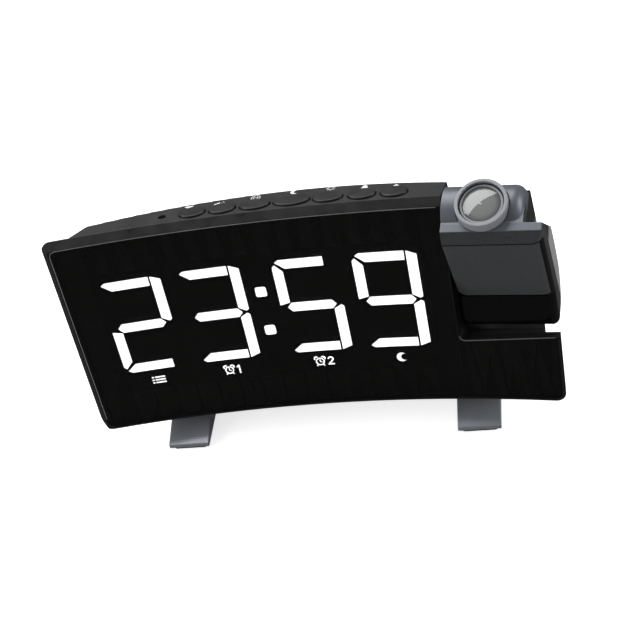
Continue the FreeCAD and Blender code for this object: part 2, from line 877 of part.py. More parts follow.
def arm_block(inset=0.0):
    """The arm below its round head, in the arm's frame, drawn in by inset."""
    left, end = arm_left + inset, arm_right - inset
    front, rear = -hub_radius + inset, head_back + head_radius - inset
    tilt = math.radians(arm_tilt)
    # The chin below the face plate is square to the clock: upright in front and level below.
    chin = from_bay_point(chin_back + inset, chin_height + inset)
    bend = (hinge_back + front * math.cos(tilt) - chin_back - inset) / math.sin(tilt)
    low = from_bay_point(hinge_back, hinge_height - hub_radius + inset)
    fronts = [
        (hub_radius - inset, 0, 0),
        (*low, 0),
        (*chin, max(0.3, chin_rounding - inset)),
        (front, bend, chin_bend),
        (front, arm_face_top - inset / 2, 0),
        (ledge_front + inset, ledge_height - inset, 0),
    ]
    top = ledge_top - inset
    tops = [(ledge_back + inset, top, 0), (head_back, top, 0), (rear, head_height, 0)]
    body = prism_right(fronts + tops, left, head_right - inset)
    # Beside the head the arm slopes down to the back.
    slope = math.radians(shoulder_slope)
    start = ledge_top - inset / math.cos(slope)
    fall = (rear - ledge_back) * math.tan(slope)
    slopes = [(ledge_back, start, 0), (rear, start - fall, 3.0)]
    body = body.fuse(prism_right(fronts + slopes, head_right - inset, end))
    body = body.fuse(rod(hub_radius - inset, end - left, Vector(left, 0, 0), right))
    # The right side draws in towards the back.
    slant = arm_side_taper / (rear + 1 - front)
    lead = -2 * hub_radius
    sides = [
        (left, lead, 0),
        (end + slant * (front - lead), lead, 0),
        (end - arm_side_taper, rear + 1, 0.6 * max(0.5, arm_corner - inset)),
        (left, rear + 1, 0.4),
    ]
    body = body.common(prism_up(sides, -far, far))
    # The rounded front corners turn with the bend above the chin and meet in its mitre.
    upper = front_corners(left, end, front, inset)
    lower = front_corners(left, end, chin_back + inset, inset)
    lower.translate(Vector(0, -hinge_back, -hinge_height))
    lower.rotate(Vector(0, 0, 0), right, -arm_tilt)
    mitre = box((-far, far), (-far, far), (0, 2 * far))
    mitre.rotate(Vector(0, 0, 0), right, -arm_tilt / 2)
    mitre.translate(Vector(0, front, bend))
    return body.common(upper).common(mitre).fuse(body.common(lower).cut(mitre)).removeSplitter()


def front_corners(left, end, front, inset):
    """A column whose two front corners are rounded as the arm's are."""
    corner = max(0.5, arm_corner - inset)
    plan = [(left, front, 0.4), (end, front, corner), (end, far, 0), (left, far, 0)]
    return prism_up(plan, -far, far)


def from_bay_point(across, height):
    """A point of the bay, as depth and height, in the arm's own frame."""
    tilt = math.radians(arm_tilt)
    depth, rise = across - hinge_back, height - hinge_height
    across_arm = depth * math.cos(tilt) + rise * math.sin(tilt)
    along_arm = rise * math.cos(tilt) - depth * math.sin(tilt)
    return across_arm, along_arm


def arm_head(inset=0.0):
    """The round head across the top of the arm, in the arm's frame."""
    left, end = arm_left + inset, head_right - inset
    middle = Vector(left, head_back, head_height)
    head = rod(head_radius - inset, end - left, middle, right)
    rims = [edge for edge in head.Edges if edge.BoundBox.XMin > end - 0.01]
    return head.makeFillet(head_rounding - inset / 2, rims)


def make_arm():
    """The projector arm: two shells, a face plate, a trim band and a round head."""
    block = arm_block()
    outside = block.fuse(arm_head())
    inside = arm_block(arm_wall).fuse(arm_head(arm_wall))
    skin = outside.cut(inside)
    span = (-far, far)
    joint = arm_face_top
    shaft_hole = rod(shaft_radius, 3 * arm_wall, Vector(arm_left - arm_wall, 0, 0), right)
    front = skin.common(box(span, (-far, 0), (-far, joint)))
    rear = skin.common(box(span, (0, far), (-far, joint)))

    plate_outline = [
        (arm_left + plate_side, plate_low, 3.5),
        (arm_right + 1, plate_low, 0),
        (arm_right + 1, arm_face_top - plate_side, 0),
        (arm_left + plate_side, arm_face_top - plate_side, 0.8),
    ]
    sheet = prism_back(plate_outline, -hub_radius - 2, -hub_radius + plate_sunk)
    lifted = arm_block()
    lifted.translate(Vector(0, -plate_proud, 0))
    add("arm_face_plate", in_arm(sheet.common(lifted)))
    front = front.cut(sheet)

    screws = []
    screw_right, screw_left = arm_right - arm_screw_inset, arm_left + arm_screw_inset
    screw_high = arm_face_top - arm_screw_drop
    screw_middle = arm_face_top - arm_screw_shoulder
    for x, height in ((screw_right, screw_middle), (screw_right, arm_screw_low), (screw_left, screw_high)):
        boss = rod(2.4, 2 * far, Vector(x, -far, height), back).common(inside)
        front = front.fuse(boss.common(box(span, (-far, 0), span)))
        rear = rear.fuse(boss.common(box(span, (0, far), span)))
        reach = hub_radius + (head_back + head_radius - hub_radius) * height / head_height
        seat = reach - arm_wall - 1.5
        rear = rear.cut(rod(2.0, far, Vector(x, seat, height), back))
        shank = rod(1.0, seat + 5, Vector(x, -5, height), back)
        front = front.cut(shank)
        rear = rear.cut(shank)
        screws.append(shank.fuse(rod(1.9, 1.1, Vector(x, seat, height), back)))
    add("arm_front_shell", in_arm(front.cut(shaft_hole)))
    add("arm_rear_shell", in_arm(rear.cut(shaft_hole)))
    add("arm_screws", in_arm(Part.makeCompound(screws)))

    shifted = arm_block()
    shifted.translate(Vector(-trim_thickness, trim_thickness, 0))
    band = block.common(box(span, span, (joint, ledge_height - 0.2))).cut(shifted)
    band = band.cut(box(span, (head_back, far), span))
    add("arm_trim", in_arm(band))

    seat = -ring_height - ring_slack
    bore_radius = sleeve_radius + running_slack
    pocket = on_lens(rod(ring_radius + ring_slack, far, Vector(0, 0, seat)))
    bore = on_lens(rod(bore_radius, far, Vector(0, 0, -far / 2)))
    collar = on_lens(rod(bore_radius + 1.4, sleeve_length + 0.5, Vector(0, 0, seat - sleeve_length - 0.5)))
    head = skin.common(box(span, span, (joint, far)))
    head = head.fuse(collar.common(outside).common(box(span, span, (joint, far))))
    head = head.cut([band, pocket, bore])
    add("arm_head", in_arm(head))


def make_lens():
    """The focus ring, and the lens in the carrier that it moves."""
    ring = tube(ring_radius, ring_bore, ring_height, Vector(0, 0, -ring_height))
    rims = [e for e in ring.Edges if e.BoundBox.ZMin > -0.01 and e.BoundBox.XMax > ring_bore + 0.5]
    ring = ring.makeFillet(0.35, rims)
    sleeve = tube(sleeve_radius, ring_bore, sleeve_length + 0.1, Vector(0, 0, -ring_height - sleeve_length))
    add("focus_ring", in_arm(on_lens(ring.fuse(sleeve).removeSplitter())))
    carrier_radius = ring_bore - running_slack
    low = -carrier_front - carrier_length
    carrier = tube(carrier_radius, carrier_bore, carrier_length, Vector(0, 0, low))
    lens_low = -lens_seat - lens_rim
    carrier = carrier.fuse(tube(carrier_bore + 0.1, carrier_bore - 0.8, 1.0, Vector(0, 0, lens_low - 1.0)))
    add("lens_carrier", in_arm(on_lens(carrier)))
    bulge_radius = (carrier_bore ** 2 + lens_bulge ** 2) / (2 * lens_bulge)
    arc = Part.Arc(
        Vector(0, 0, -lens_seat + lens_bulge),
        Vector(carrier_bore / 2, 0, -lens_seat + lens_bulge - bulge_radius
               + math.sqrt(bulge_radius ** 2 - carrier_bore ** 2 / 4)),
        Vector(carrier_bore, 0, -lens_seat),
    ).toShape()
    lines = Part.makePolygon([
        Vector(carrier_bore, 0, -lens_seat),
        Vector(carrier_bore, 0, lens_low),
        Vector(0, 0, lens_low),
        Vector(0, 0, -lens_seat + lens_bulge),
    ]).Edges
    profile = Part.Face(Part.Wire(Part.__sortEdges__([arc] + lines)))
    lens = profile.revolve(Vector(0, 0, 0), up, 360)
    add("projector_lens", in_arm(on_lens(lens)))
    start = Vector(0, 0, -lens_seat + 0.15)
    retainer = tube(carrier_bore, carrier_bore - retainer_width, retainer_height, start)
    retainer = retainer.cut(lens)
    add("lens_retainer", in_arm(on_lens(retainer)))


def make_hinge():
    """The hollow shaft that carries the arm in the casing's side wall."""
    wall_inside = bay_left - wall

    def along(x):
        return Vector(x, hinge_back, hinge_height)

    bore = shaft_radius + running_slack
    flange = tube(bush_flange_radius, bore, bush_flange, along(wall_inside - bush_flange), right)
    sleeve = tube(bush_radius, bore, wall + 0.1, along(wall_inside - 0.1), right)
    add("hinge_bush", in_bay(flange.fuse(sleeve).removeSplitter()))
    washer_start = wall_inside - bush_flange - washer_thickness
    washer = tube(clip_radius, bore, washer_thickness, along(washer_start), right)
    add("friction_washer", in_bay(washer))
    clip_start = washer_start - clip_thickness
    add("hinge_clip", in_bay(tube(clip_radius, shaft_radius, clip_thickness, along(clip_start), right)))
    inner = arm_left + arm_wall
    shaft = tube(shaft_radius, shaft_bore, inner - clip_start + 1.5, along(clip_start - 1.5), right)
    plate = tube(shaft_flange_radius, shaft_bore, shaft_flange, along(inner), right)
    add("hinge_shaft", in_bay(shaft.fuse(plate).removeSplitter()))


def make_light_engine():
    """The light source, its slide and the tube that keeps them in line."""
    x = (lens_x - engine_width / 2, lens_x + engine_width / 2)
    half = tube_size / 2
    hole = half - tube_wall
    body = box((lens_x - half, lens_x + half), (-half, half), (tube_low, tube_high))
    rear = engine_depth / 2
    flange = box(x, (-rear, rear), (tube_low, tube_low + tube_flange))
    channel = box((lens_x - hole, lens_x + hole), (-hole, hole), (tube_low - 1, tube_high + 1))
    add("light_tube", in_arm(body.fuse(flange).cut(channel)))
    slot = hole - 0.05
    slide = box((lens_x - slot, lens_x + slot), (-slot, slot), (slide_low, slide_low + slide_thickness))
    add("image_slide", in_arm(slide))
    condenser = rod(slot, condenser_thickness, Vector(lens_x, 0, condenser_low))
    add("condenser_lens", in_arm(condenser))
    board_low = tube_low - emitter_board_thickness
    add("emitter_board", in_arm(box(x, (-rear, rear), (board_low, tube_low))))
    dome = Part.makeSphere(emitter_radius, Vector(lens_x, 0, tube_low + 0.6))
    dome = dome.common(box((-far, far), (-far, far), (tube_low + 0.6, far)))
    base = rod(emitter_radius, 0.6, Vector(lens_x, 0, tube_low))
    add("light_emitter", in_arm(base.fuse(dome).removeSplitter()))
    low = board_low - sink_height
    half_x, half_y = sink_width / 2, sink_depth / 2
    sink = box((lens_x - half_x, lens_x + half_x), (-half_y, half_y), (board_low - sink_base, board_low))
    pitch = (sink_width - fin_thickness) / (fin_count - 1)
    for i in range(fin_count):
        start = lens_x - half_x + i * pitch
        fin = box((start, start + fin_thickness), (-half_y, half_y), (low, board_low - sink_base))
        sink = sink.fuse(fin)
    add("heat_sink", in_arm(sink.removeSplitter()))


def centred():
    """Every piece, moved so that the origin is at the middle of the clock's base."""
    bounds = Part.makeCompound(list(nodes.values())).optimalBoundingBox()
    shift = Vector(-bounds.Center.x, -bounds.Center.y, -bounds.ZMin)
    for shape in nodes.values():
        shape.translate(shift)
    return shift


make_face()
make_display()
make_casing()
make_keys()
make_boards()
make_speaker_and_cell()
make_feet()
make_casing_screws()
make_arm()
make_lens()
make_hinge()
make_light_engine()
origin_shift = centred()

os.makedirs("parts", exist_ok=True)
for node_name, piece in nodes.items():
    piece.exportStep("parts/" + node_name + ".step")
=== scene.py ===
import math

import bmesh
import bpy
from mathutils import Matrix, Vector


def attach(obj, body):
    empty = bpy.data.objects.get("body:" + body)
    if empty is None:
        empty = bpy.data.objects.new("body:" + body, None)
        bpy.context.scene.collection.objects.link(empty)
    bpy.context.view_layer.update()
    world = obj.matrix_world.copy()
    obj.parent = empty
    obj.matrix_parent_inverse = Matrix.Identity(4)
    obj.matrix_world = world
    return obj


# The looks of a projection alarm clock. Sizes here are millimetres on the upright clock, as it is drawn
# before it leans back: X along the face, Y back from its middle, Z up it from its lower edge.

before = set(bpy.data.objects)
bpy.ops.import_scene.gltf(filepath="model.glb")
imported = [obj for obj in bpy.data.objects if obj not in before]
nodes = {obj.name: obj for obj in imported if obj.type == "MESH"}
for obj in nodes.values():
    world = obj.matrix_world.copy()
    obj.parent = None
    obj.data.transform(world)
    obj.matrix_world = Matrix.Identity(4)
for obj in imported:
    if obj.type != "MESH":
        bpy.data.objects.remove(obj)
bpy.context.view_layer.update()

MM = 0.001
LEAN = math.radians(12.0)
FACE_LIFT = 14.8
ORIGIN_SHIFT = Vector((-0.5447, -17.8688, 0.0))
FACE_RADIUS = 507.7
FACE_HEIGHT = 87.2
GLASS_DEPTH = 1.8
DIGIT_PLACES = (-65.5, -34.8, 2.3, 33.0)
ICON_HEIGHT = 19.3
KEY_WORKS = ("key_board", "key_switches")
BAY_ANGLE = math.radians(8.5)
ARM_TILT = math.radians(25.0)
HINGE = Vector((0.0, 18.4, 41.8))
LENS_TILT = math.radians(8.0)
LENS_FRONT = Vector((-3.4, -0.2, 50.1))
CAMERA_PLACE = Vector((101.075, -368.9, 273.052))
CAMERA_RIGHT = Vector((0.973045, 0.137772, -0.18494))
CAMERA_UP = Vector((0.0807, 0.547819, 0.832696))
CAMERA_BACK = Vector((0.216036, -0.825175, 0.521934))

to_world = (
    Matrix.Scale(MM, 4)
    @ Matrix.Translation(ORIGIN_SHIFT + Vector((0, 0, FACE_LIFT)))
    @ Matrix.Rotation(-LEAN, 4, "X")
)
bay_to_world = (
    to_world
    @ Matrix.Translation(
        (FACE_RADIUS * math.sin(BAY_ANGLE), FACE_RADIUS * (math.cos(BAY_ANGLE) - 1), 0)
    )
    @ Matrix.Rotation(-BAY_ANGLE, 4, "Z")
)
arm_to_world = bay_to_world @ Matrix.Translation(HINGE) @ Matrix.Rotation(ARM_TILT, 4, "X")
lens_to_world = arm_to_world @ Matrix.Translation(LENS_FRONT) @ Matrix.Rotation(LENS_TILT, 4, "X")


def on_face(along, height, depth):
    """World point at a distance along the curved face, at a height, depth behind the surface."""
    turn = along / FACE_RADIUS
    reach = FACE_RADIUS + depth
    return to_world @ Vector((reach * math.sin(turn), reach * math.cos(turn) - FACE_RADIUS, height))


def on_top(along, depth, proud):
    """World point on the flat top, along the face and depth behind it, standing proud of the top."""
    return on_face(along, FACE_HEIGHT + proud, depth)


# Finishes


class Signal:
    """What a node puts out. It takes part in sums as a number does."""

    def __init__(self, finish, socket):
        self.finish = finish
        self.socket = socket

    def reckon(self, operation, *terms):
        return self.finish.node("ShaderNodeMath", terms, operation=operation)

    def __add__(self, other):
        return self.reckon("ADD", self, other)

    __radd__ = __add__

    def __sub__(self, other):
        return self.reckon("SUBTRACT", self, other)

    def __rsub__(self, other):
        return self.reckon("SUBTRACT", other, self)

    def __mul__(self, other):
        return self.reckon("MULTIPLY", self, other)

    __rmul__ = __mul__

    def __truediv__(self, other):
        return self.reckon("DIVIDE", self, other)

    def __rtruediv__(self, other):
        return self.reckon("DIVIDE", other, self)

    def ramp(self, low, high, start=0.0, end=1.0):
        """From start to end as this goes from low to high."""
        terms = {"Value": self, "From Min": low, "From Max": high, "To Min": start, "To Max": end}
        return self.finish.node("ShaderNodeMapRange", terms)


class Finish:
    """A material with one principled shader, and the nodes that vary it."""

    def __init__(self, name, color, roughness, **uniform):
        self.material = bpy.data.materials.new(name)
        self.material.use_nodes = True
        self.tree = self.material.node_tree
        self.shader = self.tree.nodes["Principled BSDF"]
        self.shader.inputs["Base Color"].default_value = (*color, 1.0)
        self.shader.inputs["Roughness"].default_value = roughness
        for key, value in uniform.items():
            self.shader.inputs[key.replace("_", " ").title()].default_value = value

    def node(self, kind, inputs=(), output=0, **settings):
        made = self.tree.nodes.new(kind)
        for key, value in settings.items():
            setattr(made, key, value)
        terms = inputs.items() if isinstance(inputs, dict) else enumerate(inputs)
        for key, value in terms:
            self.join(value, made.inputs[key])
        return Signal(self, made.outputs[output])

    def join(self, value, socket):
        if isinstance(value, Signal):
            self.tree.links.new(value.socket, socket)
        else:
            socket.default_value = value

    def place(self):
        """The surface's own coordinates, in metres."""
        return self.node("ShaderNodeTexCoord", output="Object")

    def noise(self, size, detail=3.0, sharpness=0.5):
        """Mottle from 0 to 1 whose patches are about size millimetres across."""
        terms = {"Vector": self.place(), "Scale": 1.0 / (size * MM), "Detail": detail, "Roughness": sharpness}
        return self.node("ShaderNodeTexNoise", terms)

    def blend(self, share, dark, light):
        """Colour from dark to light as share goes from 0 to 1."""
        terms = {0: share, 6: (*dark, 1.0), 7: (*light, 1.0)}
        return self.node("ShaderNodeMix", terms, output=2, data_type="RGBA")

    def tint(self, share, dark, light):
        self.feed("Base Color", self.blend(share, dark, light))

    def feed(self, key, value):
        self.join(value, self.shader.inputs[key])

    def relief(self, height, strength, distance, rounding=0.0):
        """Bump from a height signal, with edges seen as if rounded to a radius in millimetres."""
        terms = {"Height": height, "Strength": strength, "Distance": distance * MM}
        if rounding:
            terms["Normal"] = self.node("ShaderNodeBevel", {"Radius": rounding * MM}, samples=6)
        self.feed("Normal", self.node("ShaderNodeBump", terms))


def moulded(name, color, roughness, grain=0.35, depth=0.02, rounding=0.25, tone=0.16, smear=0.1, **uniform):
    """Moulded plastic with a fine grain, slight tone and handled patches of gloss."""
    finish = Finish(name, color, roughness, **uniform)
    cloud = finish.noise(24.0, 4.0)
    fine = finish.noise(grain, 2.0)
    share = 0.7 * cloud + 0.3 * fine
    finish.tint(share, [c * (1 - tone) for c in color], [c * (1 + tone) for c in color])
    finish.feed("Roughness", finish.noise(9.0, 5.0, 0.6).ramp(0.3, 0.7, roughness - smear, roughness + smear))
    finish.relief(fine, 0.35, depth, rounding)
    return finish.material


def painted(name, color, roughness, metallic, rounding=0.3, fleck=0.12, **uniform):
    """Satin metallic paint, with flecks that differ a little in tone."""
    finish = Finish(name, color, roughness, metallic=metallic, **uniform)
    fleck_noise = finish.noise(fleck, 1.0)
    cloud = finish.noise(14.0, 3.0)
    share = 0.55 * fleck_noise + 0.45 * cloud
    finish.tint(share, [c * 0.86 for c in color], [c * 1.14 for c in color])
    finish.feed("Roughness", cloud.ramp(0.3, 0.7, roughness - 0.05, roughness + 0.07))
    finish.relief(fleck_noise, 0.2, 0.006, rounding)
    return finish.material


def painted_reflection_below(name, low, high, start, end, roughness):
    """Satin plastic that changes from low to high between two heights in metres: a painted reflection, light
    below and dark above.
    """
    finish = Finish(name, low, roughness)
    parts = finish.node("ShaderNodeSeparateXYZ", {"Vector": finish.place()}, output=2)
    cloud = finish.noise(12.0, 3.0)
    finish.tint(parts.ramp(start, end), low, high)
    finish.feed("Roughness", cloud.ramp(0.3, 0.7, roughness - 0.06, roughness + 0.06))
    finish.relief(cloud, 0.1, 0.01, 0.4)
    return finish.material


def lit(name, color, strength):
    """A lit diffuser, a little uneven in brightness."""
    finish = Finish(name, (0.8, 0.8, 0.8), 0.4, emission_strength=strength)
    share = finish.noise(2.5, 2.0).ramp(0.3, 0.7)
    finish.feed("Emission Color", finish.blend(share, [c * 0.93 for c in color], color))
    return finish.material


def smoked(name):
    """Smoked acrylic: polished, nearly black, and lit segments show through it."""
    finish = Finish(name, (0.004, 0.004, 0.0038), 0.05, alpha=0.7)
    haze = finish.noise(30.0, 4.0)
    finish.feed("Roughness", haze.ramp(0.3, 0.7, 0.04, 0.08))
    finish.tint(haze, (0.0034, 0.0034, 0.0031), (0.0048, 0.0047, 0.0043))
    return finish.material


def clear(name, color, roughness=0.04):
    """A clear optical plastic, a little grey, and darker towards the rim of the lens as painted shade."""
    finish = Finish(name, color, roughness, transmission_weight=0.2, coat_weight=1.0)
    finish.shader.inputs["IOR"].default_value = 1.49
    haze = finish.noise(4.0, 3.0)
    finish.feed("Roughness", haze.ramp(0.3, 0.7, roughness, roughness + 0.05))
    # Painted shade: the lens colour darkens from 5 to 8 mm out from its middle.
    middle = lens_to_world @ Vector((0, 0, 0))
    reach = finish.node("ShaderNodeVectorMath", (finish.place(), middle), output=1, operation="DISTANCE")
    finish.tint(reach.ramp(5.0 * MM, 8.0 * MM), color, [c * 0.35 for c in color])
    return finish.material


def board(name):
    """A printed board: solder mask over faint tracks."""
    finish = Finish(name, (0.01, 0.07, 0.03), 0.35)
    terms = {"Vector": finish.place(), "Scale": 900.0}
    weave = finish.node("ShaderNodeTexVoronoi", terms, distance="CHEBYCHEV")
    finish.tint(weave.ramp(0.1, 0.5), (0.006, 0.045, 0.02), (0.014, 0.09, 0.04))
    finish.relief(weave, 0.3, 0.02)
    return finish.material


def brushed(name, color, roughness):
    """Metal with fine drawn lines along X."""
    finish = Finish(name, color, roughness, metallic=1.0)
    stretched = finish.node("ShaderNodeMapping", {"Vector": finish.place(), "Scale": (60.0, 3000.0, 3000.0)})
    lines = finish.node("ShaderNodeTexNoise", {"Vector": stretched, "Scale": 1.0, "Detail": 3.0})
    finish.feed("Roughness", lines.ramp(0.3, 0.7, roughness - 0.08, roughness + 0.12))
    finish.tint(lines, [c * 0.9 for c in color], [c * 1.05 for c in color])
    finish.relief(lines, 0.15, 0.01, 0.15)
    return finish.material


casing_black = moulded("casing_black", (0.016, 0.016, 0.0163), 0.46)
key_black = moulded("key_black", (0.013, 0.013, 0.0133), 0.42, rounding=0.3)
frame_black = moulded("frame_black", (0.009, 0.009, 0.009), 0.36, depth=0.008)
gloss_black = moulded("gloss_black", (0.0015, 0.0015, 0.0015), 0.1, depth=0.001, smear=0.04, rounding=0.5)
# Painted reflection: the face plate is the same glossy black as the front shell, and its grey stands in for
# the bright surround it reflects.
arm_grey = moulded("arm_grey", (0.05, 0.0515, 0.053), 0.4, depth=0.004, rounding=0.5)
arm_band = moulded("arm_band", (0.04, 0.042, 0.044), 0.28, depth=0.002)
arm_silver = painted("arm_silver", (0.15, 0.163, 0.182), 0.42, 0.45)
# Painted reflection: the arm's rear shell is light below the shoulder and dark above, standing in for the
# bright surround reflected on its glossy side.
arm_back = painted_reflection_below("arm_back", (0.3, 0.3, 0.29), (0.012, 0.0125, 0.013), 0.077, 0.081, 0.35)
ring_silver = painted("ring_silver", (0.27, 0.28, 0.3), 0.45, 0.25)
foot_satin = painted("foot_satin", (0.42, 0.445, 0.49), 0.33, 0.62, fleck=0.5)
inner_black = moulded("inner_black", (0.005, 0.005, 0.005), 0.6)
component_black = moulded("component_black", (0.014, 0.014, 0.014), 0.4)
pad_rubber = moulded("pad_rubber", (0.01, 0.01, 0.01), 0.8, grain=0.6, depth=0.05)
bearing_white = moulded("bearing_white", (0.6, 0.6, 0.57), 0.4)
segment_lit = lit("segment_lit", (1.0, 1.0, 1.0), 17.0)
segment_off = moulded("segment_off", (0.006, 0.006, 0.006), 0.5)
smoked_acrylic = smoked("smoked_acrylic")
lens_clear = clear("lens_clear", (0.24, 0.245, 0.24))
board_green = board("board_green")
steel = brushed("steel", (0.5, 0.5, 0.52), 0.3)
alloy = brushed("alloy", (0.62, 0.63, 0.65), 0.34)
paper = moulded("paper", (0.03, 0.03, 0.03), 0.85, grain=0.8, depth=0.08)
# Painted highlight: the thin light lines along the edge of the glass and the edge of the bay.
painted_edge_highlight = moulded("painted_edge_highlight", (0.2, 0.2, 0.195), 0.25, depth=0.001)
sign_white = moulded("sign_white", (0.82, 0.82, 0.82), 0.55, depth=0.004, tone=0.05)

worn_by = {
    casing_black: ["rear_casing", "battery_lid"],
    key_black: [name for name in nodes if name.startswith("key_") and name not in KEY_WORKS],
    frame_black: ["front_frame"],
    gloss_black: ["arm_front_shell"],
    arm_grey: ["arm_face_plate"],
    arm_band: ["arm_trim"],
    arm_silver: ["arm_head"],
    arm_back: ["arm_rear_shell"],
    ring_silver: ["focus_ring", "lens_retainer"],
    foot_satin: ["left_foot", "right_foot"],
    inner_black: ["light_box", "icon_windows", "light_tube", "lens_carrier", "image_slide"],
    component_black: [
        "main_board_chips", "key_switches", "power_socket", "cell_holder", "aerial_gland", "speaker_magnet",
    ],
    pad_rubber: ["foot_pads"],
    bearing_white: ["hinge_bush", "friction_washer"],
    segment_lit: [
        "digit_tens_of_hours", "digit_hours", "digit_tens_of_minutes", "digit_minutes", "colon_dots",
        "display_lamps", "light_emitter",
    ],
    segment_off: ["unlit_segments"],
    smoked_acrylic: ["smoked_panel", "light_sensor"],
    lens_clear: ["projector_lens", "condenser_lens"],
    board_green: ["display_board", "key_board", "main_board", "socket_board", "emitter_board"],
    steel: [
        "usb_socket", "board_screws", "casing_screws", "arm_screws", "hinge_shaft", "hinge_clip",
        "speaker_basket", "reserve_cell",
    ],
    alloy: ["heat_sink"],
    paper: ["speaker_cone"],
}
for material, names in worn_by.items():
    for name in names:
        slots = nodes[name].data.materials
        slots.clear()
        slots.append(material)


# Printed signs


def arc(x, y, radius, start, end, count=24):
    """Points along an arc, in degrees from the X axis."""
    turns = [math.radians(start + (end - start) * i / count) for i in range(count + 1)]
    return [(x + radius * math.cos(t), y + radius * math.sin(t)) for t in turns]


def stroke(points, width):
    """Four-sided outlines that draw a line of the given width through points."""
    shapes = []
    for (ax, ay), (bx, by) in zip(points, points[1:]):
        length = math.hypot(bx - ax, by - ay)
        ux, uy = (bx - ax) / length, (by - ay) / length
        nx, ny = -uy * width / 2, ux * width / 2
        ex, ey = ux * width / 4, uy * width / 4
        shapes.append([
            (ax + nx - ex, ay + ny - ey), (ax - nx - ex, ay - ny - ey),
            (bx - nx + ex, by - ny + ey), (bx + nx + ex, by + ny + ey),
        ])
    return shapes


def shifted(shapes, x, y, scale=1.0):
    return [[(a * scale + x, b * scale + y) for a, b in shape] for shape in shapes]


def printed(name, shapes, place, material, thickness):
    """Flat printed outlines, each carried to the world by place(a, b, height)."""
    mesh = bmesh.new()
    for shape in shapes:
        low = [mesh.verts.new(place(a, b, 0.0)) for a, b in shape]
        high = [mesh.verts.new(place(a, b, thickness)) for a, b in shape]
        mesh.faces.new(high)
        mesh.faces.new(low[::-1])
        for i in range(len(shape)):
            j = (i + 1) % len(shape)
            mesh.faces.new((low[i], low[j], high[j], high[i]))
    bmesh.ops.recalc_face_normals(mesh, faces=mesh.faces)
    piece = new_piece(name, mesh, material)
    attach(piece, "clock")


def new_piece(name, mesh, material):
    data = bpy.data.meshes.new(name)
    mesh.to_mesh(data)
    mesh.free()
    piece = bpy.data.objects.new(name, data)
    bpy.context.scene.collection.objects.link(piece)
    data.materials.append(material)
    return piece


def triangle(size, turned=1):
    return [[(-size, -size * 0.55 * turned), (size, -size * 0.55 * turned), (0, size * 0.6 * turned)]]


def loudspeaker():
    shapes = [[(-2.3, -0.6), (-1.5, -0.6), (-1.5, 0.6), (-2.3, 0.6)]]
    shapes.append([(-1.5, -0.6), (-0.4, -1.5), (-0.4, 1.5), (-1.5, 0.6)])
    shapes += stroke(arc(-0.5, 0, 1.1, -48, 48, 8), 0.3)
    shapes += stroke(arc(-0.5, 0, 1.9, -48, 48, 10), 0.3)
    return shapes


def globe():
    shapes = stroke(arc(0, 0, 1.7, 0, 360, 32), 0.32)
    turns = [math.radians(t) for t in range(0, 361, 15)]
    shapes += stroke([(0.75 * math.cos(t), 1.7 * math.sin(t)) for t in turns], 0.28)
    shapes += stroke([(-1.7, 0), (1.7, 0)], 0.28)
    return shapes


def moon(radius=1.7):
    """A crescent: strips between a round back and a hollow front with fewer points."""
    strips, hollows = 28, 20
    outer = arc(0, 0, radius, 50, 310, strips)
    inner = arc(radius * 0.62, 0, radius * 0.79, 284, 76, hollows)
    shapes = []
    for i in range(strips):
        a, b = outer[i], outer[i + 1]
        c = inner[-1 - round(i * hollows / strips)]
        d = inner[-1 - round((i + 1) * hollows / strips)]
        corners = [a, b, d, c]
        shapes.append(corners if c != d else corners[:3])
    return shapes


def gear():
    shapes = stroke(arc(0, 0, 1.05, 0, 360, 24), 0.6)
    for i in range(8):
        t = math.radians(45 * i)
        shapes += stroke([(reach * math.cos(t), reach * math.sin(t)) for reach in (1.2, 1.8)], 0.55)
    return shapes


def bell():
    dome = [(-1.4, -0.8), (1.4, -0.8), (1.0, -0.2), (0.95, 0.5), (0.8, 1.0)]
    dome += [(0.35, 1.4), (-0.35, 1.4), (-0.8, 1.0), (-0.95, 0.5), (-1.0, -0.2)]
    return [dome, arc(0, -1.15, 0.4, 0, 330, 11)]


def alarm_clock():
    shapes = stroke(arc(0, 0, 1.55, 0, 360, 32), 0.34)
    shapes += stroke([(0, 0.9), (0, 0), (0.75, -0.3)], 0.3)
    shapes += stroke(arc(-1.35, 1.5, 0.75, 50, 215, 8), 0.42)
    shapes += stroke(arc(1.35, 1.5, 0.75, -35, 130, 8), 0.42)
    shapes += stroke([(-1.0, -1.35), (-1.5, -1.95)], 0.4)
    shapes += stroke([(1.0, -1.35), (1.5, -1.95)], 0.4)
    return shapes


def numeral(which):
    if which == 1:
        return stroke([(-0.7, 1.1), (0.15, 1.75)], 0.5) + stroke([(0.15, 1.9), (0.15, -1.75)], 0.55)
    curve = arc(0, 0.85, 0.92, 165, -40, 12)
    return stroke(curve + [(-1.0, -1.5)], 0.5) + stroke([(-1.1, -1.5), (1.15, -1.5)], 0.52)


def listed():
    shapes = []
    for i in range(3):
        y = 1.3 - 1.3 * i
        shapes += stroke([(-2.6, y), (-2.1, y)], 0.55) + stroke([(-1.3, y), (2.6, y)], 0.55)
    return shapes


key_signs = (
    ("sign_down", -38.0, 13.0, triangle(1.9, -1), 1.0),
    ("sign_volume", -25.9, 12.4, loudspeaker(), 1.05),
    ("sign_zone", -12.8, 14.0, globe(), 1.0),
    ("sign_snooze", 1.7, 15.2, moon(), 1.0),
    ("sign_set", 15.1, 15.2, gear(), 0.85),
    ("sign_alarm", 27.8, 13.8, bell(), 1.0),
    ("sign_up", 39.3, 13.1, triangle(1.9, 1), 1.0),
)
for name, along, depth, shapes, scale in key_signs:
    printed(
        name, shifted(shapes, 0, 0, scale),
        lambda a, b, height, along=along, depth=depth: on_top(along + a, depth + b, height + 0.02),
        sign_white, 0.05,
    )

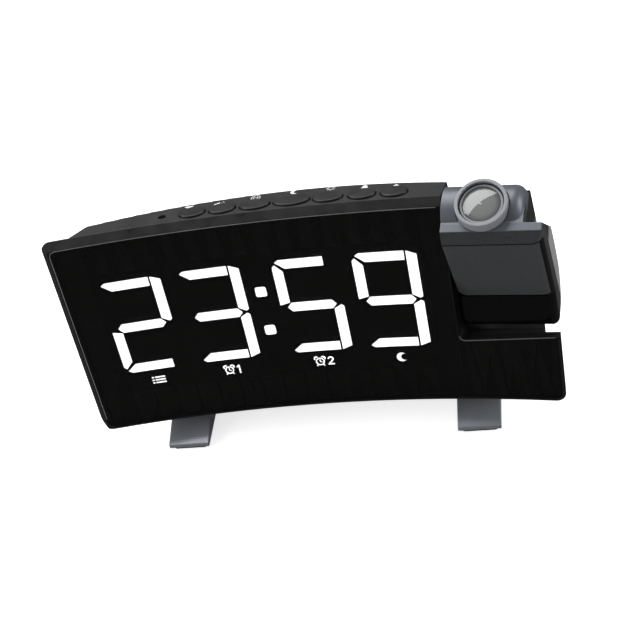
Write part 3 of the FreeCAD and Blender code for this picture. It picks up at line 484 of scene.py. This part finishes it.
icon_signs = (
    ("icon_list", DIGIT_PLACES[0], listed()),
    ("icon_alarm_one", DIGIT_PLACES[1], shifted(alarm_clock(), -1.6, 0) + shifted(numeral(1), 2.4, 0)),
    ("icon_alarm_two", DIGIT_PLACES[2], shifted(alarm_clock(), -1.8, 0) + shifted(numeral(2), 2.5, 0)),
    ("icon_sleep", DIGIT_PLACES[3], moon(2.0)),
)
for name, along, shapes in icon_signs:
    printed(
        name, shapes,
        lambda a, b, height, along=along: on_face(along + a, ICON_HEIGHT + b, GLASS_DEPTH + 0.09 - height),
        segment_lit, 0.05,
    )


def highlight_line(name, points, width):
    """A narrow painted highlight line on the face, through points along it and up it."""
    printed(
        name, stroke(points, width),
        lambda a, b, height: on_face(a, b, -0.01 - height),
        painted_edge_highlight, 0.03,
    )


# Painted highlights along the upper and left edges of the glass and along the edge of the bay.
glass_top = FACE_HEIGHT - 2.9
bay_middle = FACE_RADIUS * BAY_ANGLE
top_run = [(-89.0 + 2.0 * i, glass_top) for i in range(73)]
left_run = [(-91.0, 5.5), (-91.0, glass_top - 2.0), (-90.4, glass_top - 0.6), (-89.0, glass_top)]
highlight_line("glass_edge_highlight", left_run[:-1] + top_run, 0.32)
floor_run = [(bay_middle - 16.6, 27.35), (bay_middle + 17.2, 29.0)]
highlight_line("bay_edge_highlight", [(bay_middle - 18.4, 29.4), (bay_middle - 18.0, 28.0)] + floor_run, 0.28)


# Camera, light and floor

camera_data = bpy.data.cameras.new("camera")
camera_data.lens = 65.786
camera_data.sensor_width = 36.0
camera_data.clip_start = 0.01
camera_data.clip_end = 20.0
camera = bpy.data.objects.new("camera", camera_data)
bpy.context.scene.collection.objects.link(camera)
turned = to_world.to_3x3() * (1.0 / MM)
axes = Matrix([turned @ axis for axis in (CAMERA_RIGHT, CAMERA_UP, CAMERA_BACK)]).transposed()
camera.matrix_world = Matrix.Translation(to_world @ CAMERA_PLACE) @ axes.normalized().to_4x4()
bpy.context.scene.camera = camera


def softbox(name, place, width, height, power):
    """A soft lamp that points at the clock."""
    data = bpy.data.lights.new(name, "AREA")
    data.shape = "RECTANGLE"
    data.size = width
    data.size_y = height
    data.energy = power
    lamp = bpy.data.objects.new(name, data)
    bpy.context.scene.collection.objects.link(lamp)
    lamp.location = place
    lamp.rotation_euler = (Vector((0.0, 0.0, 0.05)) - lamp.location).to_track_quat("-Z", "Y").to_euler()


class Backdrop:
    """Nodes that give what surrounds the clock one tone to the camera and another to reflections."""

    def __init__(self, tree):
        self.tree = tree
        self.path = tree.nodes.new("ShaderNodeLightPath")

    def choose(self, ray, other, seen, kind="RGBA"):
        mix = self.tree.nodes.new("ShaderNodeMix")
        mix.data_type = kind
        first = {"RGBA": 6, "FLOAT": 2}[kind]
        self.tree.links.new(self.path.outputs[ray], mix.inputs[0])
        for socket, value in ((mix.inputs[first], other), (mix.inputs[first + 1], seen)):
            if isinstance(value, bpy.types.NodeSocket):
                self.tree.links.new(value, socket)
            else:
                socket.default_value = value
        return mix.outputs[{"RGBA": 2, "FLOAT": 0}[kind]]


softbox("top_softbox", (-0.3, 0.45, 0.85), 1.1, 0.7, 9.0)
softbox("left_softbox", (-0.9, -0.35, 0.5), 0.6, 0.6, 4.0)
softbox("right_softbox", (0.9, 0.1, 0.45), 0.4, 0.6, 4.0)

world = bpy.data.worlds.new("studio")
bpy.context.scene.world = world
world.use_nodes = True
surround = Backdrop(world.node_tree)
shade = surround.choose("Is Glossy Ray", (0.42, 0.42, 0.43, 1.0), (0.07, 0.07, 0.07, 1.0))
shade = surround.choose("Is Camera Ray", shade, (1.0, 1.0, 1.0, 1.0))
surround.tree.links.new(shade, surround.tree.nodes["Background"].inputs["Color"])

floor_mesh = bmesh.new()
bmesh.ops.create_grid(floor_mesh, x_segments=1, y_segments=1, size=3.0)
floor = new_piece("floor", floor_mesh, bpy.data.materials.new("pale_floor"))
floor.location = (0.0, 0.0, -0.0002)
floor_material = floor.data.materials[0]
floor_material.use_nodes = True
ground = Backdrop(floor_material.node_tree)
pale = ground.tree.nodes["Principled BSDF"]
pale.inputs["Roughness"].default_value = 0.9
pale.inputs["Specular IOR Level"].default_value = 0.0
shade = ground.choose("Is Glossy Ray", (0.85, 0.85, 0.85, 1.0), (0.06, 0.06, 0.06, 1.0))
ground.tree.links.new(shade, pale.inputs["Base Color"])
pale.inputs["Emission Color"].default_value = (1.0, 1.0, 1.0, 1.0)
ground.tree.links.new(ground.choose("Is Camera Ray", 0.0, 0.7, "FLOAT"), pale.inputs["Emission Strength"])

bpy.context.scene.view_settings.view_transform = "Standard"
